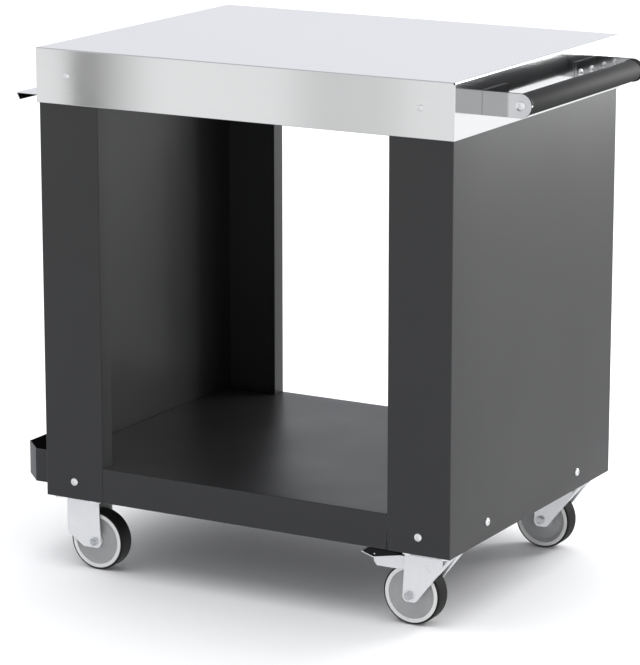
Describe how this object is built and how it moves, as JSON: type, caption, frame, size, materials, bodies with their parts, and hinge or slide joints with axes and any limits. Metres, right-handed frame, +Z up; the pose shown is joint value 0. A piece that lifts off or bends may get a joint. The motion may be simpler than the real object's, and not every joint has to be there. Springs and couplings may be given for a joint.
{
  "type": "outdoor oven table",
  "caption": "Wheeled steel table for an outdoor pizza oven: polished tray top, folded side panels, low shelf, push handle, side tool rack and pocket, and swivel casters, two of them with brakes.",
  "frame": {"origin": "on the floor, under the middle of the table's bounding box", "axes": "+X towards the push handle, +Y towards the rear, +Z up"},
  "size_m": [0.928, 0.6056, 0.875],
  "materials": {
    "polished_steel": "polished stainless sheet",
    "powder_coat": "fine-textured matt anthracite powder coat",
    "tube_coat": "satin dark grey powder coat",
    "zinc": "bright zinc plate",
    "black_plastic": "matt moulded black",
    "wheel_plastic": "matt moulded light grey",
    "cover_plastic": "matt moulded mid grey",
    "tyre_rubber": "matt black solid tyre"
  },
  "bodies": {
    "table": {"worktop": "polished_steel", "side_panel_left": "powder_coat", "side_panel_right": "powder_coat", "lower_shelf": "powder_coat", "caster_pan_left": "powder_coat", "caster_pan_right": "powder_coat", "handle_arm_front": "polished_steel", "handle_arm_rear": "polished_steel", "handle_tube": "tube_coat", "handle_plug_front": "black_plastic", "handle_plug_rear": "black_plastic", "tool_rack": "polished_steel", "tool_pocket": "powder_coat", "worktop_rib_front": "polished_steel", "worktop_rib_rear": "polished_steel", "shelf_rib": "powder_coat", "worktop_screws": "zinc", "column_screws": "zinc", "side_screws": "zinc", "pocket_screws": "zinc", "arm_screws": "zinc", "handle_bolts": "zinc", "caster_bolts": "zinc", "caster_plate_front_right": "zinc", "caster_plate_front_left": "zinc", "caster_plate_rear_right": "zinc", "caster_plate_rear_left": "zinc"},
    "fork_front_right": {"caster_fork_front_right": "zinc", "caster_axle_front_right": "zinc", "pedal_pin_front_right": "zinc"},
    "wheel_front_right": {"wheel_centre_front_right": "wheel_plastic", "wheel_covers_front_right": "cover_plastic", "tyre_front_right": "tyre_rubber"},
    "pedal_front_right": {"pedal_lever_front_right": "zinc", "pedal_cap_front_right": "black_plastic"},
    "fork_front_left": {"caster_fork_front_left": "zinc", "caster_axle_front_left": "zinc"},
    "wheel_front_left": {"wheel_centre_front_left": "wheel_plastic", "wheel_covers_front_left": "cover_plastic", "tyre_front_left": "tyre_rubber"},
    "fork_rear_right": {"caster_fork_rear_right": "zinc", "caster_axle_rear_right": "zinc", "pedal_pin_rear_right": "zinc"},
    "wheel_rear_right": {"wheel_centre_rear_right": "wheel_plastic", "wheel_covers_rear_right": "cover_plastic", "tyre_rear_right": "tyre_rubber"},
    "pedal_rear_right": {"pedal_lever_rear_right": "zinc", "pedal_cap_rear_right": "black_plastic"},
    "fork_rear_left": {"caster_fork_rear_left": "zinc", "caster_axle_rear_left": "zinc"},
    "wheel_rear_left": {"wheel_centre_rear_left": "wheel_plastic", "wheel_covers_rear_left": "cover_plastic", "tyre_rear_left": "tyre_rubber"}
  },
  "joints": [
    {"name": "swivel_front_right", "type": "hinge", "parent": "table", "child": "fork_front_right", "pos_m": [0.328, -0.2557, 0.128], "axis": [0, 0, 1], "continuous": true},
    {"name": "wheel_spin_front_right", "type": "hinge", "parent": "fork_front_right", "child": "wheel_front_right", "pos_m": [0.296, -0.2557, 0.05], "axis": [0, 1, 0], "continuous": true},
    {"name": "pedal_press_front_right", "type": "hinge", "parent": "fork_front_right", "child": "pedal_front_right", "pos_m": [0.332, -0.2557, 0.1], "axis": [0, -1, 0], "range_deg": [0, 5]},
    {"name": "swivel_front_left", "type": "hinge", "parent": "table", "child": "fork_front_left", "pos_m": [-0.328, -0.2557, 0.128], "axis": [0, 0, 1], "continuous": true},
    {"name": "wheel_spin_front_left", "type": "hinge", "parent": "fork_front_left", "child": "wheel_front_left", "pos_m": [-0.296, -0.2557, 0.05], "axis": [0, 1, 0], "continuous": true},
    {"name": "swivel_rear_right", "type": "hinge", "parent": "table", "child": "fork_rear_right", "pos_m": [0.328, 0.2207, 0.128], "axis": [0, 0, 1], "continuous": true},
    {"name": "wheel_spin_rear_right", "type": "hinge", "parent": "fork_rear_right", "child": "wheel_rear_right", "pos_m": [0.296, 0.2207, 0.05], "axis": [0, 1, 0], "continuous": true},
    {"name": "pedal_press_rear_right", "type": "hinge", "parent": "fork_rear_right", "child": "pedal_rear_right", "pos_m": [0.332, 0.2207, 0.1], "axis": [0, -1, 0], "range_deg": [0, 5]},
    {"name": "swivel_rear_left", "type": "hinge", "parent": "table", "child": "fork_rear_left", "pos_m": [-0.328, 0.2207, 0.128], "axis": [0, 0, 1], "continuous": true},
    {"name": "wheel_spin_rear_left", "type": "hinge", "parent": "fork_rear_left", "child": "wheel_rear_left", "pos_m": [-0.296, 0.2207, 0.05], "axis": [0, 1, 0], "continuous": true}
  ]
}
